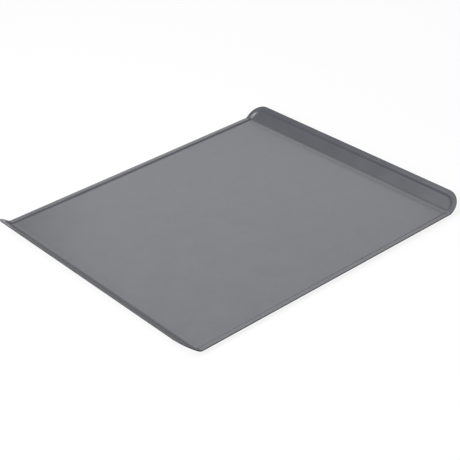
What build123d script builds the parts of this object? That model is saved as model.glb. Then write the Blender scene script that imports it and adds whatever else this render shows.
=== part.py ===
from build123d import *
from math import atan2, cos, radians, sin, tan
import os

# Double-walled cookie sheet, in millimetres.
# X runs along the two flanges, Y from the front flange to the back one, and Z points up.
# The origin is the centre of the underside, on the surface that the sheet stands on.

# Overall sizes, taken outside the hemmed edge
sheet_width = 355.6
sheet_depth = 406.4

# Flanges bent up at the front and the back; the length is taken along the slope
flange_length = 25.0
flange_angle = 38.5
flange_bend_radius = 9.0
flange_corner_radius = 20.5

# The two skins, the coating between the folded layers, and the insulating air between the skins
upper_gauge = 0.4
lower_gauge = 0.4
layer_clearance = 0.05
air_gap = 4.2

# Hem: the upper skin's edge folded down round the lower skin's edge and back flat under it. The
# setback is the gap between the cut edge and the joggle's first bend.
hem_return_width = 4.1
hem_setback = 0.1

# Joggle: the step from the strip down to the baking surface, with its tightest bend radius
rim_rise = 1.8
joggle_angle = 32.0
joggle_bend_radius = 3.5
joggle_land = 0.3

# Pan pressed down into the lower skin, with the inner radius of its bends
pan_shelf_width = 2.5
pan_corner_radius = 26.0
pan_wall_angle = 45.0
pan_bend_radius = 1.5
pan_land = 0.2

# Domes embossed up from the pan's floor that keep the skins apart under load
dome_columns = 3
dome_rows = 4
dome_base_radius = 8.5
dome_top_radius = 3.5
dome_bend_radius = 1.0
dome_land = 0.3
dome_clearance = 0.2

# Levels, and places across the rim counted inwards from the hemmed edge
surface_height = lower_gauge + air_gap + upper_gauge
nest_depth = upper_gauge + layer_clearance
shelf_level = surface_height - nest_depth
fold_radius = lower_gauge / 2 + layer_clearance
hem_radius = fold_radius + upper_gauge
hem_level = rim_rise - hem_radius
joggle_slope = radians(joggle_angle)
joggle_outer_radius = joggle_bend_radius + lower_gauge + nest_depth
joggle_top = hem_return_width + hem_setback + joggle_outer_radius * tan(joggle_slope / 2)
joggle_foot = joggle_top + rim_rise / tan(joggle_slope)
rim_width = joggle_foot + (joggle_bend_radius + nest_depth) * tan(joggle_slope / 2) + joggle_land

# Folds of the flanges and their rounded corners
half_width = sheet_width / 2
slope = radians(flange_angle)
flange_reach = (flange_length - hem_radius) * cos(slope) - hem_level * sin(slope) + hem_radius
half_fold = sheet_depth / 2 - flange_reach
fold_tangent = flange_bend_radius * tan(slope / 2)
bend_start = half_fold - fold_tangent
corner_radius = min(flange_corner_radius, flange_length - fold_tangent)

# Section planes along the rim of the right back quarter. In each of them X points inwards from
# the hemmed edge, Y points up from the baking surface and Z follows the edge.
side_plane = Plane(origin=(half_width, 0, surface_height), x_dir=(-1, 0, 0), z_dir=(0, 1, 0))
fold_plane = side_plane.offset(bend_start)
slope_plane = Plane(
    origin=(
        half_width,
        bend_start + flange_bend_radius * sin(slope),
        surface_height + flange_bend_radius * (1 - cos(slope)),
    ),
    x_dir=(-1, 0, 0),
    z_dir=(0, cos(slope), sin(slope)),
)
slope_straight = flange_length - fold_tangent - corner_radius
corner_plane = slope_plane.offset(slope_straight)
corner_centre = corner_plane.origin + corner_plane.x_dir * corner_radius
end_plane = Plane(
    origin=corner_centre + corner_plane.z_dir * corner_radius,
    x_dir=-corner_plane.z_dir,
    z_dir=corner_plane.x_dir,
)
fold_axis = Axis((0, bend_start, surface_height + flange_bend_radius), (1, 0, 0))
corner_axis = Axis(corner_centre, corner_plane.y_dir)

# Flat between the rims and the folds, the pan's outline on it, and the floor inside the pan's wall
flat_width = 2 * (half_width - rim_width)
flat_depth = 2 * bend_start
pan_half_width = flat_width / 2 - pan_shelf_width
pan_half_depth = bend_start - pan_shelf_width
pan_drop = shelf_level - lower_gauge
pan_slope = radians(pan_wall_angle)
pan_margin = pan_land + (pan_bend_radius + lower_gauge) * tan(pan_slope / 2)
pan_wall_width = pan_drop / tan(pan_slope) + 2 * pan_margin
floor_width = 2 * (pan_half_width - pan_wall_width)
floor_depth = 2 * (pan_half_depth - pan_wall_width)

# Domes, evenly spread over the floor
dome_level = surface_height - upper_gauge - dome_clearance
dome_slope = atan2(dome_level - lower_gauge, dome_base_radius - dome_top_radius)
dome_radius = dome_base_radius + dome_bend_radius * tan(dome_slope / 2) + dome_land
dome_places = GridLocations(
    floor_width / dome_columns, floor_depth / dome_rows, dome_columns, dome_rows
)


def skin_quarter(section):
    """A quarter of a skin's edge and flange: its section runs from the hemmed edge to the flat
    along the side, to the middle of the sheet up the bend, and to the corner's centre round it."""
    extrude(section(side_plane, rim_width), amount=bend_start)
    revolve(section(fold_plane, half_width), axis=fold_axis, revolution_arc=flange_angle)
    if slope_straight > 0:
        extrude(section(slope_plane, half_width), amount=slope_straight)
    revolve(section(corner_plane, corner_radius), axis=corner_axis, revolution_arc=90)
    extrude(section(end_plane, corner_radius), amount=half_width - corner_radius)


def joggle_line(depth, start, reach):
    """Line from start over the joggle to reach, depth below the upper skin's top side."""
    shift = depth * tan(joggle_slope / 2)
    return FilletPolyline(
        (start, rim_rise - depth),
        (joggle_top - shift, rim_rise - depth),
        (joggle_foot - shift, -depth),
        (reach, -depth),
        radius=[joggle_outer_radius - depth, joggle_bend_radius + depth],
    )


def upper_section(plane, reach):
    """The upper skin: hem return, fold, strip, joggle and flat."""
    centre = (hem_radius, hem_level)
    with BuildSketch(plane) as section:
        with BuildLine():
            inside = CenterArc(centre, fold_radius, 90, 180)
            outside = CenterArc(centre, hem_radius, 90, 180)
            Line(inside @ 0, outside @ 0)
            Line(inside @ 1, outside @ 1)
        make_face()
        with Locations((hem_radius, hem_level - hem_radius)):
            Rectangle(hem_return_width - hem_radius, upper_gauge, align=(Align.MIN, Align.MIN))
        with BuildLine():
            over = joggle_line(0, hem_radius, reach)
            under = joggle_line(upper_gauge, hem_radius, reach)
            Line(over @ 0, under @ 0)
            Line(over @ 1, under @ 1)
        make_face()
    return section.sketch


def lower_section(plane, reach):
    """The lower skin: its edge inside the hem, the strip, the joggle and the shelf."""
    edge = hem_radius + layer_clearance
    with BuildSketch(plane) as section:
        with BuildLine():
            over = joggle_line(nest_depth, edge, reach)
            under = joggle_line(nest_depth + lower_gauge, edge, reach)
            Line(over @ 0, under @ 0)
            Line(over @ 1, under @ 1)
        make_face()
    return section.sketch


def pan_section(plane):
    """Wall of the pan, from the shelf of the lower skin down to the pan's floor."""
    with BuildSketch(plane) as section:
        with BuildLine():
            FilletPolyline(
                (0, 0),
                (pan_margin, 0),
                (pan_wall_width - pan_margin, -pan_drop),
                (pan_wall_width, -pan_drop),
                radius=[pan_bend_radius + lower_gauge, pan_bend_radius],
            )
            offset(amount=lower_gauge, side=Side.RIGHT)
        make_face()
    return section.sketch


def pan_wall_quarter():
    """The pan's wall along one side, round one corner and along one end."""
    centre_x = pan_half_width - pan_corner_radius
    centre_y = pan_half_depth - pan_corner_radius
    side = Plane(origin=(pan_half_width, 0, shelf_level), x_dir=(-1, 0, 0), z_dir=(0, 1, 0))
    end = Plane(origin=(centre_x, pan_half_depth, shelf_level), x_dir=(0, -1, 0), z_dir=(-1, 0, 0))
    extrude(pan_section(side), amount=centre_y)
    revolve(
        pan_section(side.offset(centre_y)),
        axis=Axis((centre_x, centre_y, shelf_level), (0, 0, 1)),
        revolution_arc=90,
    )
    extrude(pan_section(end), amount=centre_x)


def dome():
    """One embossed dome, turned about the Z axis, that all but reaches the upper skin."""
    with BuildSketch(Plane.XZ) as section:
        with BuildLine():
            FilletPolyline(
                (0, dome_level),
                (dome_top_radius, dome_level),
                (dome_base_radius, lower_gauge),
                (dome_radius, lower_gauge),
                radius=[dome_bend_radius + lower_gauge, dome_bend_radius],
            )
            offset(amount=lower_gauge, side=Side.RIGHT)
        make_face()
    return revolve(section.sketch, axis=Axis.Z, mode=Mode.PRIVATE)


with BuildPart() as upper_sheet:
    skin_quarter(upper_section)
    mirror(about=Plane.YZ)
    mirror(about=Plane.XZ)
    with BuildSketch(Plane.XY.offset(surface_height)):
        Rectangle(flat_width, flat_depth)
    extrude(amount=-upper_gauge)
upper_sheet.part.label = "upper_sheet"

with BuildPart() as lower_sheet:
    skin_quarter(lower_section)
    pan_wall_quarter()
    mirror(about=Plane.YZ)
    mirror(about=Plane.XZ)
    with BuildSketch(Plane.XY.offset(shelf_level)):
        Rectangle(flat_width, flat_depth)
        RectangleRounded(
            2 * pan_half_width, 2 * pan_half_depth, pan_corner_radius, mode=Mode.SUBTRACT
        )
    extrude(amount=-lower_gauge)
    with BuildSketch():
        RectangleRounded(floor_width, floor_depth, pan_corner_radius - pan_wall_width)
        with dome_places:
            Circle(dome_radius, mode=Mode.SUBTRACT)
    extrude(amount=lower_gauge)
    with dome_places:
        add(dome())
lower_sheet.part.label = "lower_sheet"

os.makedirs("parts", exist_ok=True)
export_step(upper_sheet.part, "parts/upper_sheet.step")
export_step(lower_sheet.part, "parts/lower_sheet.step")
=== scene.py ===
from math import atan2, copysign, cos, pi, radians, sin, tan
from types import SimpleNamespace

import bmesh
import bpy
from bpy.props import (
    FloatProperty,
    FloatVectorProperty,
    IntProperty,
    PointerProperty,
)
from mathutils import Matrix, Vector


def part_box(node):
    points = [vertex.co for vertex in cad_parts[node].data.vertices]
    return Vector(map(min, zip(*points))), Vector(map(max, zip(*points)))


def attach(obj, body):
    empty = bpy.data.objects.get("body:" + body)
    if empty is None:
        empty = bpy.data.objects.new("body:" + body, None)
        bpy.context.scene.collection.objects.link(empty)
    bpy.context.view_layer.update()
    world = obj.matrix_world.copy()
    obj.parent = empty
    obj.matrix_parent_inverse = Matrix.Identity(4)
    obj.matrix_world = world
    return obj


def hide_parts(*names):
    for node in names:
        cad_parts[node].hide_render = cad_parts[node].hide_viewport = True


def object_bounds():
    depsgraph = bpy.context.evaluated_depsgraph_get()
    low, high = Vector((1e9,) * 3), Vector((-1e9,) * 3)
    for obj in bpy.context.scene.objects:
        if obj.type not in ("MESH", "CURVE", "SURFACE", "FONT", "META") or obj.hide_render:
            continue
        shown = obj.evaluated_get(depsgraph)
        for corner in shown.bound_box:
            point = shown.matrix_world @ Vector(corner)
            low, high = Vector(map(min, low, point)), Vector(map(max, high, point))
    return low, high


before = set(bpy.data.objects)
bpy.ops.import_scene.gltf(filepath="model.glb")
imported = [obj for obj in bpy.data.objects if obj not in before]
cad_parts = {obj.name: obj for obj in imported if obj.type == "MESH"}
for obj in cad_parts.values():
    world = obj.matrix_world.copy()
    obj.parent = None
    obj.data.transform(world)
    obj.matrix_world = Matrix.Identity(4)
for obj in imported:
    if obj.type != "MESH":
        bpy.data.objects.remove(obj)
cad_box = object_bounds()

bl_info = {
    "name": "Insulated Cookie Sheet",
    "version": (1, 0, 0),
    "blender": (4, 5, 0),
    "location": "3D View > Sidebar > Cookie Sheet",
    "description": "Builds a cookie sheet of two hemmed steel skins, and a white studio",
    "category": "Add Mesh",
}

MM = 0.001
GAUGE = 0.4 * MM

# Places in the CAD model that default sizes come from
cad_low, cad_high = cad_box
flat_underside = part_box("upper_sheet")[0][2]

# Points nearer to each other than this are one point
MERGE = 1e-6

# Edges that turn more than this are cut edges of the steel
CUT_ANGLE = radians(60)

# Edges that turn more than this are shaded as sharp
SHARP_ANGLE = radians(35)

# Vertex attribute that is 1 on the fold of the hem and 0 elsewhere; it masks the painted shade
# and the dulling of the fold
FOLD = "fold"

# Octaves of noise in each pattern, and the two values that most of a noise lies between
FINE_DETAIL = 2.0
MOTTLING_DETAIL = 4.0
FOLD_PATCH_DETAIL = 6.0
NOISE_ENDS = (0.3, 0.7)

# Noise values between which a patch of the fold's painted shade and dulling sets in
FOLD_PATCH_EDGES = (0.45, 0.65)

# Sockets of the Mix node for its two ends and for its result
MIX_SOCKETS = {"FLOAT": (2, 3, 0), "VECTOR": (4, 5, 1)}


class SheetSizes(bpy.types.PropertyGroup):
    """Sizes of the hemmed rim and of the two flanges."""

    width: FloatProperty(
        name="Width",
        description="From side to side, outside the hem",
        default=cad_high[0] - cad_low[0],
        unit="LENGTH",
    )
    depth: FloatProperty(
        name="Depth",
        description="From the front hem to the back hem",
        default=cad_high[1] - cad_low[1],
        unit="LENGTH",
    )
    gauge: FloatProperty(
        name="Steel",
        description="Thickness of each skin",
        default=GAUGE,
        unit="LENGTH",
    )
    surface_level: FloatProperty(
        name="Surface height",
        description="Height of the baking surface over the worktop",
        default=flat_underside + GAUGE,
        unit="LENGTH",
    )
    layer_clearance: FloatProperty(
        name="Layer clearance",
        description="Coating between the folded layers",
        default=0.05 * MM,
        unit="LENGTH",
    )
    flange_length: FloatProperty(
        name="Flange length",
        description="Length of a flange along its slope, up to the outside of the hem",
        default=25.0 * MM,
        unit="LENGTH",
    )
    flange_angle: FloatProperty(
        name="Flange angle",
        description="How far a flange is bent up from the baking surface",
        default=radians(38.5),
        subtype="ANGLE",
    )
    flange_bend_radius: FloatProperty(
        name="Flange bend",
        description="Radius of the bend at the foot of a flange",
        default=9.0 * MM,
        unit="LENGTH",
    )
    flange_corner_radius: FloatProperty(
        name="Flange corner",
        description="Radius of a flange's rounded ends",
        default=20.5 * MM,
        unit="LENGTH",
    )
    hem_return_width: FloatProperty(
        name="Hem return",
        description="Width of the strip folded back under the rim",
        default=4.1 * MM,
        unit="LENGTH",
    )
    hem_setback: FloatProperty(
        name="Hem setback",
        description="From the cut edge of the hem to the first bend of the joggle",
        default=0.1 * MM,
        unit="LENGTH",
    )
    rim_rise: FloatProperty(
        name="Rim rise",
        description="Height of the joggle's step",
        default=1.8 * MM,
        unit="LENGTH",
    )
    joggle_angle: FloatProperty(
        name="Joggle angle",
        description="Slope of the joggle",
        default=radians(32.0),
        subtype="ANGLE",
    )
    joggle_bend_radius: FloatProperty(
        name="Joggle bend",
        description="Tightest radius in the joggle",
        default=3.5 * MM,
        unit="LENGTH",
    )
    joggle_land: FloatProperty(
        name="Joggle land",
        description="Flat left inside the joggle's last bend",
        default=0.3 * MM,
        unit="LENGTH",
    )


class PanSizes(bpy.types.PropertyGroup):
    """Sizes of the pan pressed into the lower skin and of the domes on its floor."""

    shelf_width: FloatProperty(
        name="Shelf",
        description="Flat that carries the upper skin, between the rim and the pan",
        default=2.5 * MM,
        unit="LENGTH",
    )
    corner_radius: FloatProperty(
        name="Pan corner",
        description="Radius of the pan's corners at its mouth",
        default=26.0 * MM,
        unit="LENGTH",
    )
    wall_angle: FloatProperty(
        name="Wall slope",
        description="Slope of the pan's wall",
        default=radians(45.0),
        subtype="ANGLE",
    )
    bend_radius: FloatProperty(
        name="Wall bend",
        description="Inner radius of the wall's bends",
        default=1.5 * MM,
        unit="LENGTH",
    )
    land: FloatProperty(
        name="Wall land",
        description="Flat left outside the wall's bends",
        default=0.2 * MM,
        unit="LENGTH",
    )
    dome_columns: IntProperty(
        name="Dome columns", description="Domes from side to side", default=3
    )
    dome_rows: IntProperty(
        name="Dome rows", description="Domes from front to back", default=4
    )
    dome_base_radius: FloatProperty(
        name="Dome base",
        description="Radius of a dome where its slope meets the floor",
        default=8.5 * MM,
        unit="LENGTH",
    )
    dome_top_radius: FloatProperty(
        name="Dome top",
        description="Radius of a dome's flat top",
        default=3.5 * MM,
        unit="LENGTH",
    )
    dome_bend_radius: FloatProperty(
        name="Dome bend",
        description="Inner radius of a dome's bends",
        default=1.0 * MM,
        unit="LENGTH",
    )
    dome_land: FloatProperty(
        name="Dome land",
        description="Flat left outside a dome's last bend",
        default=0.3 * MM,
        unit="LENGTH",
    )
    dome_clearance: FloatProperty(
        name="Dome clearance",
        description="Air between a dome and the upper skin",
        default=0.2 * MM,
        unit="LENGTH",
    )


class MeshDetail(bpy.types.PropertyGroup):
    """How finely the bends and the cut edges are drawn."""

    band: FloatProperty(
        name="Band",
        description="Narrow band beside each bend that keeps the flat next to it shaded flat",
        default=0.25 * MM,
        unit="LENGTH",
    )
    bend_steps: IntProperty(
        name="Bend steps",
        description="Facets of a bend in the joggle, the pan's wall or a dome",
        default=5,
    )
    fold_steps: IntProperty(
        name="Fold steps", description="Facets of the hem's fold", default=12
    )
    flange_steps: IntProperty(
        name="Flange steps", description="Facets of the bend at a flange's foot", default=12
    )
    corner_steps: IntProperty(
        name="Corner steps",
        description="Facets round a corner, and round half of a dome",
        default=30,
    )
    edge_softness: FloatProperty(
        name="Edge softness",
        description="Rounding of the cut edge of the steel",
        default=0.08 * MM,
        unit="LENGTH",
    )
    edge_steps: IntProperty(
        name="Edge steps", description="Facets across the rounding of the cut edge", default=2
    )


class CoatingLook(bpy.types.PropertyGroup):
    """Colour, sheen and grain of the baked-on non-stick coating."""

    baking_colour: FloatVectorProperty(
        name="Baking coating",
        description="Colour of the upper skin",
        subtype="COLOR",
        size=3,
        default=(0.094, 0.097, 0.1115),
    )
    outer_colour: FloatVectorProperty(
        name="Outer coating",
        description="Colour of the lower skin",
        subtype="COLOR",
        size=3,
        default=(0.094, 0.097, 0.1115),
    )
    # Darker colour along the fold of the hem: painted shade of the rounded edge
    fold_shade_colour: FloatVectorProperty(
        name="Worn coating",
        description="Colour that the coating has where it is rubbed, along the fold of the hem",
        subtype="COLOR",
        size=3,
        default=(0.06, 0.062, 0.07),
    )
    # Share by which the fold's painted shade and dulling fade between their patches
    fold_shade_and_dulling: FloatProperty(
        name="Wear",
        description="How far the rubbing of the fold fades between its scuffs, as a share",
        default=0.5,
        subtype="FACTOR",
    )
    # Roughness along the fold of the hem
    fold_roughness: FloatProperty(
        name="Worn roughness",
        description="Roughness of the coating where it is rubbed",
        default=0.45,
        subtype="FACTOR",
    )
    # Distance from one patch of the fold's painted shade and dulling to the next
    fold_patch_pitch: FloatProperty(
        name="Scuff pitch",
        description="Distance from one scuff of the fold to the next",
        default=6.0 * MM,
        unit="LENGTH",
    )
    roughness: FloatProperty(
        name="Roughness",
        description="Roughness of the satin finish, between its smooth and its dull patches",
        default=0.25,
        subtype="FACTOR",
    )
    dull_patches: FloatProperty(
        name="Dull patches",
        description="How far the roughness strays from patch to patch",
        default=0.02,
        subtype="FACTOR",
    )
    speckle: FloatProperty(
        name="Speckle",
        description="How far the fine speckle strays from the coating's colour, as a share",
        default=0.08,
        subtype="FACTOR",
    )
    speckle_pitch: FloatProperty(
        name="Speckle pitch",
        description="Distance from one speck to the next",
        default=0.9 * MM,
        unit="LENGTH",
    )
    mottling: FloatProperty(
        name="Mottling",
        description="How far the broad mottling strays from the coating's colour, as a share",
        default=0.09,
        subtype="FACTOR",
    )
    mottling_pitch: FloatProperty(
        name="Mottling pitch",
        description="Distance from one pale patch to the next",
        default=35.0 * MM,
        unit="LENGTH",
    )
    grain_pitch: FloatProperty(
        name="Grain pitch",
        description="Distance from one grain to the next on the coating's surface",
        default=0.45 * MM,
        unit="LENGTH",
    )
    grain_height: FloatProperty(
        name="Grain height",
        description="Height of the grain on the coating's surface",
        default=0.004 * MM,
        unit="LENGTH",
    )
    index: FloatProperty(
        name="Index", description="Index of refraction of the coating", default=1.5
    )


class StudioLook(bpy.types.PropertyGroup):
    """Camera, floor, surroundings and lamps of the picture."""

    camera_place: FloatVectorProperty(
        name="Camera place",
        description="Where the camera stands",
        size=3,
        unit="LENGTH",
        default=(0.99262, -0.78144, 0.75873),
    )
    camera_turn: FloatVectorProperty(
        name="Camera turn",
        description="How the camera is turned, with the slight tilt that the picture has",
        size=3,
        subtype="EULER",
        default=(radians(58.594), radians(3.3283), radians(49.6582)),
    )
    lens: FloatProperty(
        name="Lens", description="Focal length in millimetres", default=99.9, unit="CAMERA"
    )
    sensor_width: FloatProperty(
        name="Sensor",
        description="Width of the camera's sensor in millimetres",
        default=36.0,
        unit="CAMERA",
    )
    floor_size: FloatProperty(
        name="Floor", description="Side of the square floor", default=6.0, unit="LENGTH"
    )
    floor_drop: FloatProperty(
        name="Floor drop",
        description="How far the floor lies below the sheet, so that they never share a plane",
        default=0.1 * MM,
        unit="LENGTH",
    )
    floor_paint: FloatProperty(
        name="Floor paint",
        description="Share of the lamps' light that the floor returns",
        default=0.15,
        subtype="FACTOR",
    )
    floor_glow: FloatProperty(
        name="Floor glow",
        description="White that the floor adds to the picture",
        default=0.88,
        subtype="FACTOR",
    )
    floor_reflected: FloatProperty(
        name="Floor reflected",
        description="White that the floor adds to reflections",
        default=0.62,
        subtype="FACTOR",
    )
    ambient: FloatProperty(
        name="Ambient",
        description="Light that falls on the sheet from the surroundings",
        default=0.2,
        subtype="FACTOR",
    )
    room_glow: FloatProperty(
        name="Room glow",
        description="What reflections show of the room beside the white backdrop",
        default=0.67,
        subtype="FACTOR",
    )
    backdrop_towards: FloatVectorProperty(
        name="Backdrop",
        description="Direction from the sheet to the middle of the white backdrop",
        size=3,
        subtype="DIRECTION",
        default=(-0.646, 0.504, 0.574),
    )
    backdrop_edges: FloatVectorProperty(
        name="Backdrop edges",
        description="Cosines of the angles at which the backdrop ends and is full white",
        size=2,
        default=(0.72, 0.95),
    )
    horizon_glow: FloatProperty(
        name="Horizon glow",
        description="Share of their brightness that the surroundings keep at the horizon",
        default=0.6,
        subtype="FACTOR",
    )
    horizon_top: FloatProperty(
        name="Horizon top",
        description="Sine of the height over the horizon at which the dimming ends",
        default=0.3,
    )
    key_brightness: FloatProperty(
        name="Key", description="Radiance of the tall softbox at the front", default=9.4
    )
    key_towards: FloatVectorProperty(
        name="Key direction",
        description="Bearing from +X towards +Y, and height over the horizon",
        size=2,
        unit="ROTATION",
        default=(radians(283), radians(45)),
    )
    key_size: FloatVectorProperty(
        name="Key size",
        description="Width and height of the tall softbox",
        size=2,
        unit="LENGTH",
        default=(0.6, 1.3),
    )
    panel_brightness: FloatProperty(
        name="Panel",
        description="Radiance of the broad panel behind the sheet, opposite the camera",
        default=1.03,
    )
    panel_towards: FloatVectorProperty(
        name="Panel direction",
        description="Bearing from +X towards +Y, and height over the horizon",
        size=2,
        unit="ROTATION",
        default=(radians(139), radians(41)),
    )
    panel_size: FloatVectorProperty(
        name="Panel size",
        description="Width and height of the broad panel",
        size=2,
        unit="LENGTH",
        default=(1.0, 1.1),
    )
    fill_brightness: FloatProperty(
        name="Fill", description="Radiance of the square softbox at the front left", default=2.4
    )
    fill_towards: FloatVectorProperty(
        name="Fill direction",
        description="Bearing from +X towards +Y, and height over the horizon",
        size=2,
        unit="ROTATION",
        default=(radians(228), radians(52)),
    )
    fill_size: FloatVectorProperty(
        name="Fill size",
        description="Width and height of the square softbox",
        size=2,
        unit="LENGTH",
        default=(0.7, 0.7),
    )
    lamp_distance: FloatProperty(
        name="Lamp distance",
        description="From the middle of the sheet to each lamp",
        default=1.6,
        unit="LENGTH",
    )


def rim_places(sizes):
    """Radii and layers of the rim, places across it counted inwards from the hemmed edge, and
    where the flanges' bends and corners lie."""
    rim = SimpleNamespace()
    rim.nest_depth = sizes.gauge + sizes.layer_clearance
    fold_radius = sizes.gauge / 2 + sizes.layer_clearance
    rim.hem_radius = fold_radius + sizes.gauge
    rim.strip_width = sizes.hem_return_width + sizes.hem_setback
    rim.outer_radius = sizes.joggle_bend_radius + sizes.gauge + rim.nest_depth
    half_turn = tan(sizes.joggle_angle / 2)
    joggle_top = rim.strip_width + rim.outer_radius * half_turn
    joggle_foot = joggle_top + sizes.rim_rise / tan(sizes.joggle_angle)
    rim.joggle_end = joggle_foot + sizes.joggle_bend_radius * half_turn
    last_bend = (sizes.joggle_bend_radius + rim.nest_depth) * half_turn
    rim.width = joggle_foot + last_bend + sizes.joggle_land
    rim.half_width = sizes.width / 2
    rim.flat_half_width = rim.half_width - rim.width
    slope = sizes.flange_angle
    hem_level = sizes.rim_rise - rim.hem_radius
    reach = (sizes.flange_length - rim.hem_radius) * cos(slope) - hem_level * sin(slope)
    fold_tangent = sizes.flange_bend_radius * tan(slope / 2)
    rim.bend_start = sizes.depth / 2 - reach - rim.hem_radius - fold_tangent
    rim.corner_radius = min(sizes.flange_corner_radius, sizes.flange_length - fold_tangent)
    rim.slope_straight = sizes.flange_length - fold_tangent - rim.corner_radius
    rim.uphill = Vector((0.0, cos(slope), sin(slope)))
    rim.slope_normal = Vector((0.0, -sin(slope), cos(slope)))
    return rim


def banded(length, band):
    """A stretch cut in three: a narrow band at each end, and what lies between them."""
    narrow = min(band, length / 3)
    return narrow, length - 2 * narrow, narrow


class Strip:
    """The section of a steel strip, drawn bend by bend as a press folds it."""

    def __init__(self, bm, start, heading, axis, band):
        self.bm = bm
        self.tip = bmesh.ops.create_vert(bm, co=start)["vert"][0]
        self.heading = Vector(heading)
        self.axis = Vector(axis)
        self.band = band

    def run(self, length):
        """A straight stretch, with a narrow band at each end."""
        for step in banded(length, self.band):
            self.tip = bmesh.ops.extrude_vert_indiv(self.bm, verts=[self.tip])["verts"][0]
            bmesh.ops.translate(self.bm, verts=[self.tip], vec=self.heading * step)

    def bend(self, radius, angle, steps):
        """A bend to the left, or to the right where the angle is negative."""
        towards = self.axis.cross(self.heading) * copysign(radius, angle)
        turned = bmesh.ops.spin(
            self.bm,
            geom=[self.tip],
            cent=self.tip.co + towards,
            axis=self.axis,
            angle=angle,
            steps=steps,
        )
        self.tip = verts_of(turned["geom_last"])[0]
        self.heading = Matrix.Rotation(angle, 3, self.axis) @ self.heading

    def joggle(self, height, radii, angle, steps):
        """A step of a given height: a bend, a slope, and a bend back to the old heading."""
        first, last = radii
        slope = abs(angle)
        self.bend(first, angle, steps)
        self.run(height / sin(slope) - (first + last) * tan(slope / 2))
        self.bend(last, -angle, steps)


def verts_of(geom):
    return [part for part in geom if isinstance(part, bmesh.types.BMVert)]


def edges_of(geom):
    return [part for part in geom if isinstance(part, bmesh.types.BMEdge)]


def pull(bm, row, *steps):
    """Draws a row of edges out into strips of sheet, and gives back the far row."""
    for step in steps:
        drawn = bmesh.ops.extrude_edge_only(bm, edges=row)["geom"]
        bmesh.ops.translate(bm, verts=verts_of(drawn), vec=step)
        row = edges_of(drawn)
    return row


def swing(bm, row, centre, axis, angle, steps):
    """Turns a row of edges about an axis into a bend, and gives back the far row."""
    ends = list(dict.fromkeys(vert for edge in row for vert in edge.verts))
    turned = bmesh.ops.spin(
        bm, geom=row + ends, cent=centre, axis=axis, angle=angle, steps=steps
    )
    return edges_of(turned["geom_last"])


def step_to_flat(strip, sizes, rim, depth, steps):
    """The joggle down from the rim's strip, depth under the upper skin's top, and the flat
    inside it as far as the middle of the flange's corner."""
    radii = (rim.outer_radius - depth, sizes.joggle_bend_radius + depth)
    strip.joggle(sizes.rim_rise, radii, sizes.joggle_angle, steps)
    strip.run(rim.width - rim.joggle_end)
    strip.run(rim.corner_radius - rim.width)


def upper_strip(bm, sizes, rim, detail):
    """Section of the upper skin: hem return, fold, strip, joggle and flat."""
    folded = bm.verts.layers.float.new(FOLD)
    under = sizes.surface_level + sizes.rim_rise - 2 * rim.hem_radius
    strip = Strip(
        bm,
        start=(rim.half_width - sizes.hem_return_width, rim.bend_start, under),
        heading=(1, 0, 0),
        axis=(0, -1, 0),
        band=detail.band,
    )
    strip.run(sizes.hem_return_width - rim.hem_radius)
    strip.bend(rim.hem_radius, pi, detail.fold_steps)
    strip.run(rim.strip_width - rim.hem_radius)
    step_to_flat(strip, sizes, rim, 0.0, detail.bend_steps)
    for vert in bm.verts:
        vert[folded] = float(vert.co.x > rim.half_width - rim.hem_radius + MERGE)


def lower_strip(bm, sizes, rim, detail):
    """Section of the lower skin: from its edge inside the hem over the joggle to the shelf."""
    edge = rim.hem_radius + sizes.layer_clearance
    level = sizes.surface_level + sizes.rim_rise - rim.nest_depth
    strip = Strip(
        bm,
        start=(rim.half_width - edge, rim.bend_start, level),
        heading=(-1, 0, 0),
        axis=(0, -1, 0),
        band=detail.band,
    )
    strip.run(rim.strip_width - edge)
    step_to_flat(strip, sizes, rim, rim.nest_depth, detail.bend_steps)


def skin_quarter(bm, sizes, rim, detail):
    """Takes a section round a quarter of the rim: along the side, up the bend, round the
    flange's corner and along its top. The flat between the rims is left open."""
    section = bm.edges[:]
    band = detail.band
    fold_centre = Vector((0.0, rim.bend_start, sizes.surface_level + sizes.flange_bend_radius))
    start = pull(bm, section, Vector((0.0, -band, 0.0)))
    inner = rim.flat_half_width - MERGE
    side = [edge for edge in start if min(vert.co.x for vert in edge.verts) > inner]
    pull(bm, side, Vector((0.0, band - rim.bend_start, 0.0)))
    row = swing(bm, section, fold_centre, (1, 0, 0), sizes.flange_angle, detail.flange_steps)
    row = pull(bm, row, *[rim.uphill * length for length in banded(rim.slope_straight, band)])
    foot = min(row, key=lambda edge: min(vert.co.x for vert in edge.verts))
    centre = min((vert.co.copy() for vert in foot.verts), key=lambda co: co.x)
    row = swing(bm, row, centre, rim.slope_normal, pi / 2, detail.corner_steps)
    across = rim.half_width - rim.corner_radius
    to_middle = (Vector((-band, 0.0, 0.0)), Vector((band - across, 0.0, 0.0)))
    pull(bm, row, *to_middle)
    bmesh.ops.remove_doubles(bm, verts=bm.verts[:], dist=MERGE)
    inside = [
        edge
        for edge in bm.edges
        if edge.is_boundary and all(abs(vert.co.x - across) < MERGE for vert in edge.verts)
    ]
    pull(bm, inside, *to_middle)
    bmesh.ops.remove_doubles(bm, verts=bm.verts[:], dist=MERGE)


def mirror_both_ways(bm):
    """Completes a quarter of a skin to the left and to the front."""
    for axis in "XY":
        bmesh.ops.mirror(
            bm,
            geom=bm.verts[:] + bm.edges[:] + bm.faces[:],
            matrix=Matrix.Identity(4),
            merge_dist=MERGE,
            axis=axis,
        )
    bmesh.ops.remove_doubles(bm, verts=bm.verts[:], dist=MERGE)


def fill_level(bm, level):
    """Closes the openings whose edges all lie at one level with flat sheet."""
    rims = [
        edge
        for edge in bm.edges
        if edge.is_boundary and all(abs(vert.co.z - level) < MERGE for vert in edge.verts)
    ]
    filled = bmesh.ops.triangle_fill(bm, use_beauty=True, edges=rims, normal=(0, 0, 1))
    if not filled["geom"]:
        raise RuntimeError(f"no opening to fill {level / MM:.2f} mm over the worktop")


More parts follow.
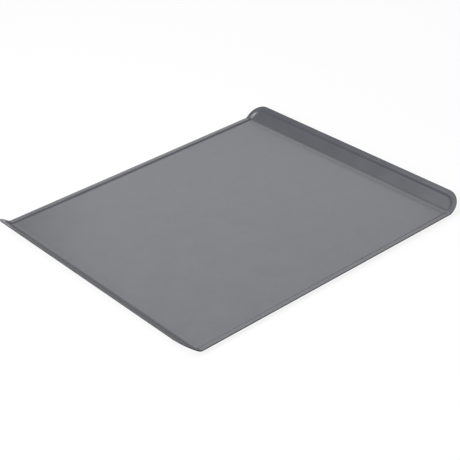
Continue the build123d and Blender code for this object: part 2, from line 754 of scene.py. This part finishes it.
def thicken(bm, gauge, detail):
    """Turns the skin's upper face up, gives the steel its thickness and rounds its cut edges."""
    bmesh.ops.recalc_face_normals(bm, faces=bm.faces[:])
    if max(bm.faces, key=lambda face: face.calc_area()).normal.z < 0:
        bmesh.ops.reverse_faces(bm, faces=bm.faces[:])
    bmesh.ops.solidify(bm, geom=bm.faces[:], thickness=gauge)
    bm.normal_update()
    cut = [edge for edge in bm.edges if abs(edge.calc_face_angle(0.0)) > CUT_ANGLE]
    bmesh.ops.bevel(
        bm,
        geom=cut,
        offset=detail.edge_softness,
        offset_type="OFFSET",
        segments=detail.edge_steps,
        profile=0.5,
        affect="EDGES",
        material=-1,
    )


def finish_piece(bm, name, node, material):
    """Writes the mesh to an object that rides on the frame in place of its CAD node."""
    mesh = bpy.data.meshes.new(name)
    bm.to_mesh(mesh)
    bm.free()
    mesh.shade_smooth()
    mesh.set_sharp_from_angle(angle=SHARP_ANGLE)
    mesh.materials.append(material)
    piece = bpy.data.objects.new(name, mesh)
    bpy.context.scene.collection.objects.link(piece)
    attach(piece, "root")
    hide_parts(node)


def join(bm, other):
    """Moves what one bmesh holds into another."""
    carried = bpy.data.meshes.new("carried")
    other.to_mesh(carried)
    other.free()
    bm.from_mesh(carried)
    bpy.data.meshes.remove(carried)


def pan_wall(bm, sizes, pan, rim, detail):
    """Adds a quarter of the pan's wall, and gives back the floor's half width and half depth."""
    shelf_level = sizes.surface_level - rim.nest_depth
    drop = shelf_level - sizes.gauge
    outer_radius = pan.bend_radius + sizes.gauge
    half_turn = tan(pan.wall_angle / 2)
    margin = pan.land + outer_radius * half_turn
    width = drop / tan(pan.wall_angle) + 2 * margin
    half_width = rim.flat_half_width - pan.shelf_width
    half_depth = rim.bend_start - pan.shelf_width
    centre = Vector((half_width - pan.corner_radius, half_depth - pan.corner_radius, 0.0))
    wall = bmesh.new()
    strip = Strip(
        wall,
        start=(half_width, centre.y, shelf_level),
        heading=(-1, 0, 0),
        axis=(0, 1, 0),
        band=detail.band,
    )
    strip.run(pan.land)
    strip.joggle(drop, (outer_radius, pan.bend_radius), -pan.wall_angle, detail.bend_steps)
    strip.run(margin - pan.bend_radius * half_turn)
    section = wall.edges[:]
    band = detail.band
    pull(wall, section, Vector((0.0, -band, 0.0)), Vector((0.0, band - centre.y, 0.0)))
    row = swing(wall, section, centre, (0, 0, 1), pi / 2, detail.corner_steps)
    pull(wall, row, Vector((-band, 0.0, 0.0)), Vector((band - centre.x, 0.0, 0.0)))
    join(bm, wall)
    return Vector((half_width - width, half_depth - width, 0.0))


def domes(bm, sizes, pan, rim, detail, half_floor):
    """Adds the domes of the pan's floor, each a short section spun about its own axis."""
    top = sizes.surface_level - sizes.gauge - pan.dome_clearance
    rise = top - sizes.gauge
    slope = atan2(rise, pan.dome_base_radius - pan.dome_top_radius)
    outer_radius = pan.dome_bend_radius + sizes.gauge
    pitch = Vector((2 * half_floor.x / pan.dome_columns, 2 * half_floor.y / pan.dome_rows, 0.0))
    first = (pitch - 2 * half_floor) / 2
    for column in range(pan.dome_columns):
        for row in range(pan.dome_rows):
            place = first + Vector((column * pitch.x, row * pitch.y, 0.0))
            dome = bmesh.new()
            strip = Strip(
                dome,
                start=place + Vector((0.0, 0.0, top)),
                heading=(1, 0, 0),
                axis=(0, -1, 0),
                band=detail.band,
            )
            strip.run(pan.dome_top_radius - outer_radius * tan(slope / 2))
            strip.joggle(rise, (outer_radius, pan.dome_bend_radius), -slope, detail.bend_steps)
            strip.run(pan.dome_land)
            bmesh.ops.spin(
                dome,
                geom=dome.verts[:] + dome.edges[:],
                cent=place,
                axis=(0, 0, 1),
                angle=2 * pi,
                steps=2 * detail.corner_steps,
                use_merge=True,
            )
            join(bm, dome)


def noise(tree, pitch, detail=FINE_DETAIL):
    """Noise of a given pitch through the object, from about 0 to 1."""
    place = tree.nodes.new("ShaderNodeTexCoord")
    texture = tree.nodes.new("ShaderNodeTexNoise")
    texture.inputs["Scale"].default_value = 1 / pitch
    texture.inputs["Detail"].default_value = detail
    tree.links.new(place.outputs["Object"], texture.inputs["Vector"])
    return texture.outputs["Fac"]


def spread(tree, value, low, high, ends=NOISE_ENDS):
    """A value spread from low to high, where the incoming one goes from end to end."""
    ramp = tree.nodes.new("ShaderNodeMapRange")
    ramp.inputs["From Min"].default_value, ramp.inputs["From Max"].default_value = ends
    ramp.inputs["To Min"].default_value = low
    ramp.inputs["To Max"].default_value = high
    tree.links.new(value, ramp.inputs["Value"])
    return ramp.outputs["Result"]


def times(tree, one, other):
    """The product of two values."""
    product = tree.nodes.new("ShaderNodeMath")
    product.operation = "MULTIPLY"
    tree.links.new(one, product.inputs[0])
    tree.links.new(other, product.inputs[1])
    return product.outputs[0]


def tinted(tree, colour, shade):
    """A colour made darker or paler by a value."""
    tint = tree.nodes.new("ShaderNodeVectorMath")
    tint.operation = "SCALE"
    tint.inputs[0].default_value = colour
    tree.links.new(shade, tint.inputs["Scale"])
    return tint.outputs["Vector"]


def blend(tree, kind, share, one, other):
    """A mix of two values or two vectors, of which the second may be a plain number."""
    mix = tree.nodes.new("ShaderNodeMix")
    mix.data_type = kind
    first, second, result = MIX_SOCKETS[kind]
    tree.links.new(share, mix.inputs["Factor"])
    tree.links.new(one, mix.inputs[first])
    if isinstance(other, bpy.types.NodeSocket):
        tree.links.new(other, mix.inputs[second])
    else:
        mix.inputs[second].default_value = other
    return mix.outputs[result]


def coating(name, colour, look):
    """Satin non-stick coating: a fine speckle and grain, broad faint mottling that shows in the
    sheen too, and duller patches along the fold of the hem, darkened there with painted shade of
    the rounded edge."""
    material = bpy.data.materials.new(name)
    material.use_nodes = True
    tree = material.node_tree
    shader = tree.nodes["Principled BSDF"]
    shader.inputs["IOR"].default_value = look.index
    patches = noise(tree, look.mottling_pitch, MOTTLING_DETAIL)
    specks = spread(tree, noise(tree, look.speckle_pitch), 1 - look.speckle, 1 + look.speckle)
    mottling = spread(tree, patches, 1 - look.mottling, 1 + look.mottling)
    plain = tinted(tree, colour, times(tree, specks, mottling))
    # Painted shade along the fold of the hem, darker than the coating
    shaded_fold = tinted(tree, look.fold_shade_colour, specks)
    fold_patches = noise(tree, look.fold_patch_pitch, FOLD_PATCH_DETAIL)
    patchy_fold = spread(tree, fold_patches, 1 - look.fold_shade_and_dulling, 1.0, FOLD_PATCH_EDGES)
    folded = tree.nodes.new("ShaderNodeAttribute")
    folded.attribute_name = FOLD
    # Mask of the fold's painted shade and dulling, broken into patches
    fold_shade_and_dulling = times(tree, patchy_fold, folded.outputs["Fac"])
    tree.links.new(blend(tree, "VECTOR", fold_shade_and_dulling, plain, shaded_fold), shader.inputs["Base Color"])
    smooth = look.roughness - look.dull_patches
    dull = look.roughness + look.dull_patches
    sheen = blend(tree, "FLOAT", fold_shade_and_dulling, spread(tree, patches, smooth, dull), look.fold_roughness)
    tree.links.new(sheen, shader.inputs["Roughness"])
    bump = tree.nodes.new("ShaderNodeBump")
    bump.inputs["Distance"].default_value = look.grain_height
    tree.links.new(noise(tree, look.grain_pitch), bump.inputs["Height"])
    tree.links.new(bump.outputs["Normal"], shader.inputs["Normal"])
    return material


class COOKIESHEET_OT_upper_skin(bpy.types.Operator):
    """Add the upper skin with the hem and the baking surface"""

    bl_idname = "cookie_sheet.upper_skin"
    bl_label = "Upper Skin"

    def execute(self, context):
        scene = context.scene
        sizes = scene.sheet_sizes
        detail = scene.mesh_detail
        look = scene.coating_look
        rim = rim_places(sizes)
        bm = bmesh.new()
        upper_strip(bm, sizes, rim, detail)
        skin_quarter(bm, sizes, rim, detail)
        mirror_both_ways(bm)
        fill_level(bm, sizes.surface_level)
        thicken(bm, sizes.gauge, detail)
        material = coating("baking_coating", look.baking_colour, look)
        finish_piece(bm, "baking_skin", "upper_sheet", material)
        return {"FINISHED"}


class COOKIESHEET_OT_lower_skin(bpy.types.Operator):
    """Add the lower skin with the insulating pan and its domes"""

    bl_idname = "cookie_sheet.lower_skin"
    bl_label = "Lower Skin"

    def execute(self, context):
        scene = context.scene
        sizes = scene.sheet_sizes
        pan = scene.pan_sizes
        detail = scene.mesh_detail
        look = scene.coating_look
        rim = rim_places(sizes)
        bm = bmesh.new()
        lower_strip(bm, sizes, rim, detail)
        skin_quarter(bm, sizes, rim, detail)
        half_floor = pan_wall(bm, sizes, pan, rim, detail)
        mirror_both_ways(bm)
        fill_level(bm, sizes.surface_level - rim.nest_depth)
        domes(bm, sizes, pan, rim, detail, half_floor)
        bmesh.ops.remove_doubles(bm, verts=bm.verts[:], dist=MERGE)
        fill_level(bm, sizes.gauge)
        thicken(bm, sizes.gauge, detail)
        material = coating("outer_coating", look.outer_colour, look)
        finish_piece(bm, "outer_skin", "lower_sheet", material)
        return {"FINISHED"}


def by_ray(tree, lighting, reflected, seen):
    """A strength for the light that falls on the sheet, for reflections and for the camera."""
    path = tree.nodes.new("ShaderNodeLightPath")
    unseen = tree.nodes.new("ShaderNodeMapRange")
    unseen.inputs["To Min"].default_value = lighting
    unseen.inputs["To Max"].default_value = reflected
    strength = tree.nodes.new("ShaderNodeMapRange")
    strength.inputs["To Max"].default_value = seen
    tree.links.new(path.outputs["Is Glossy Ray"], unseen.inputs["Value"])
    tree.links.new(unseen.outputs["Result"], strength.inputs["To Min"])
    tree.links.new(path.outputs["Is Camera Ray"], strength.inputs["Value"])
    return strength.outputs["Result"]


def white_floor(look):
    """A white floor just below the sheet, that can't be seen from underneath."""
    bm = bmesh.new()
    bmesh.ops.create_grid(bm, x_segments=1, y_segments=1, size=look.floor_size / 2)
    bmesh.ops.translate(bm, verts=bm.verts[:], vec=(0.0, 0.0, -look.floor_drop))
    mesh = bpy.data.meshes.new("white_floor")
    bm.to_mesh(mesh)
    bm.free()
    floor = bpy.data.objects.new("white_floor", mesh)
    bpy.context.scene.collection.objects.link(floor)
    material = bpy.data.materials.new("white_floor")
    material.use_nodes = True
    nodes = material.node_tree.nodes
    links = material.node_tree.links
    nodes.remove(nodes["Principled BSDF"])
    grey = look.floor_paint
    paint = nodes.new("ShaderNodeBsdfDiffuse")
    paint.inputs["Color"].default_value = (grey, grey, grey, 1.0)
    glow = nodes.new("ShaderNodeEmission")
    both = nodes.new("ShaderNodeAddShader")
    side = nodes.new("ShaderNodeNewGeometry")
    clear = nodes.new("ShaderNodeBsdfTransparent")
    one_sided = nodes.new("ShaderNodeMixShader")
    strength = by_ray(material.node_tree, 0.0, look.floor_reflected, look.floor_glow)
    links.new(strength, glow.inputs["Strength"])
    links.new(paint.outputs["BSDF"], both.inputs[0])
    links.new(glow.outputs["Emission"], both.inputs[1])
    links.new(side.outputs["Backfacing"], one_sided.inputs["Fac"])
    links.new(both.outputs["Shader"], one_sided.inputs[1])
    links.new(clear.outputs["BSDF"], one_sided.inputs[2])
    links.new(one_sided.outputs["Shader"], nodes["Material Output"].inputs["Surface"])
    mesh.materials.append(material)


def glow_towards(tree, direction, edges, low):
    """A brightness that rises from low to 1 as a ray turns towards a direction, between the
    cosines of two angles from it."""
    place = tree.nodes.new("ShaderNodeTexCoord")
    facing = tree.nodes.new("ShaderNodeVectorMath")
    facing.operation = "DOT_PRODUCT"
    facing.inputs[1].default_value = Vector(direction).normalized()
    tree.links.new(place.outputs["Generated"], facing.inputs[0])
    shade = tree.nodes.new("ShaderNodeMapRange")
    shade.interpolation_type = "SMOOTHSTEP"
    shade.inputs["From Min"].default_value, shade.inputs["From Max"].default_value = edges
    shade.inputs["To Min"].default_value = low
    tree.links.new(facing.outputs["Value"], shade.inputs["Value"])
    return shade.outputs["Result"]


def surroundings(look):
    """White all round for the camera. Reflections show a white backdrop and a dimmer room, both
    dimmer again near the horizon."""
    world = bpy.data.worlds.new("white_surroundings")
    bpy.context.scene.world = world
    world.use_nodes = True
    tree = world.node_tree
    background = tree.nodes["Background"]
    tree.links.new(by_ray(tree, look.ambient, 1.0, 1.0), background.inputs["Strength"])
    backdrop = glow_towards(tree, look.backdrop_towards, look.backdrop_edges, look.room_glow)
    sky = glow_towards(tree, (0, 0, 1), (0.0, look.horizon_top), look.horizon_glow)
    path = tree.nodes.new("ShaderNodeLightPath")
    white = tree.nodes.new("ShaderNodeMath")
    white.operation = "MAXIMUM"
    tree.links.new(path.outputs["Is Camera Ray"], white.inputs[0])
    tree.links.new(times(tree, backdrop, sky), white.inputs[1])
    tree.links.new(white.outputs[0], background.inputs["Color"])


def soft_lamp(name, towards, away, size, brightness):
    """A rectangular lamp that faces the sheet, of a given radiance."""
    light = bpy.data.lights.new(name, "AREA")
    light.shape = "RECTANGLE"
    light.size, light.size_y = size
    light.energy = brightness * pi * light.size * light.size_y
    bearing, height = towards
    place = Vector((cos(height) * cos(bearing), cos(height) * sin(bearing), sin(height))) * away
    body = bpy.data.objects.new(name, light)
    body.location = place
    body.rotation_euler = place.to_track_quat("Z", "Y").to_euler()
    bpy.context.scene.collection.objects.link(body)


def camera(scene, look):
    """The camera that the picture is seen through."""
    lens = bpy.data.cameras.new("picture_camera")
    lens.lens = look.lens
    lens.sensor_width = look.sensor_width
    body = bpy.data.objects.new("picture_camera", lens)
    body.location = look.camera_place
    body.rotation_euler = look.camera_turn
    scene.collection.objects.link(body)
    scene.camera = body


class COOKIESHEET_OT_studio(bpy.types.Operator):
    """Add the white floor, the surroundings, the soft lamps and the camera"""

    bl_idname = "cookie_sheet.studio"
    bl_label = "Studio"

    def execute(self, context):
        look = context.scene.studio_look
        white_floor(look)
        surroundings(look)
        away = look.lamp_distance
        soft_lamp("key_softbox", look.key_towards, away, look.key_size, look.key_brightness)
        soft_lamp("back_panel", look.panel_towards, away, look.panel_size, look.panel_brightness)
        soft_lamp("fill_softbox", look.fill_towards, away, look.fill_size, look.fill_brightness)
        camera(context.scene, look)
        context.scene.view_settings.view_transform = "Standard"
        return {"FINISHED"}


class COOKIESHEET_PT_panel(bpy.types.Panel):
    """Lists the skins and the studio in the sidebar"""

    bl_label = "Cookie Sheet"
    bl_idname = "COOKIESHEET_PT_panel"
    bl_space_type = "VIEW_3D"
    bl_region_type = "UI"
    bl_category = "Cookie Sheet"

    def draw(self, context):
        for one in OPERATORS:
            self.layout.operator(one.bl_idname)


GROUPS = {
    "sheet_sizes": SheetSizes,
    "pan_sizes": PanSizes,
    "mesh_detail": MeshDetail,
    "coating_look": CoatingLook,
    "studio_look": StudioLook,
}
OPERATORS = (COOKIESHEET_OT_upper_skin, COOKIESHEET_OT_lower_skin, COOKIESHEET_OT_studio)
CLASSES = (*GROUPS.values(), *OPERATORS, COOKIESHEET_PT_panel)


def register():
    for one in CLASSES:
        bpy.utils.register_class(one)
    for name, group in GROUPS.items():
        setattr(bpy.types.Scene, name, PointerProperty(type=group))


def unregister():
    for name in GROUPS:
        delattr(bpy.types.Scene, name)
    for one in reversed(CLASSES):
        bpy.utils.unregister_class(one)


def main():
    register()
    bpy.ops.cookie_sheet.upper_skin()
    bpy.ops.cookie_sheet.lower_skin()
    bpy.ops.cookie_sheet.studio()


if __name__ == "__main__":
    main()
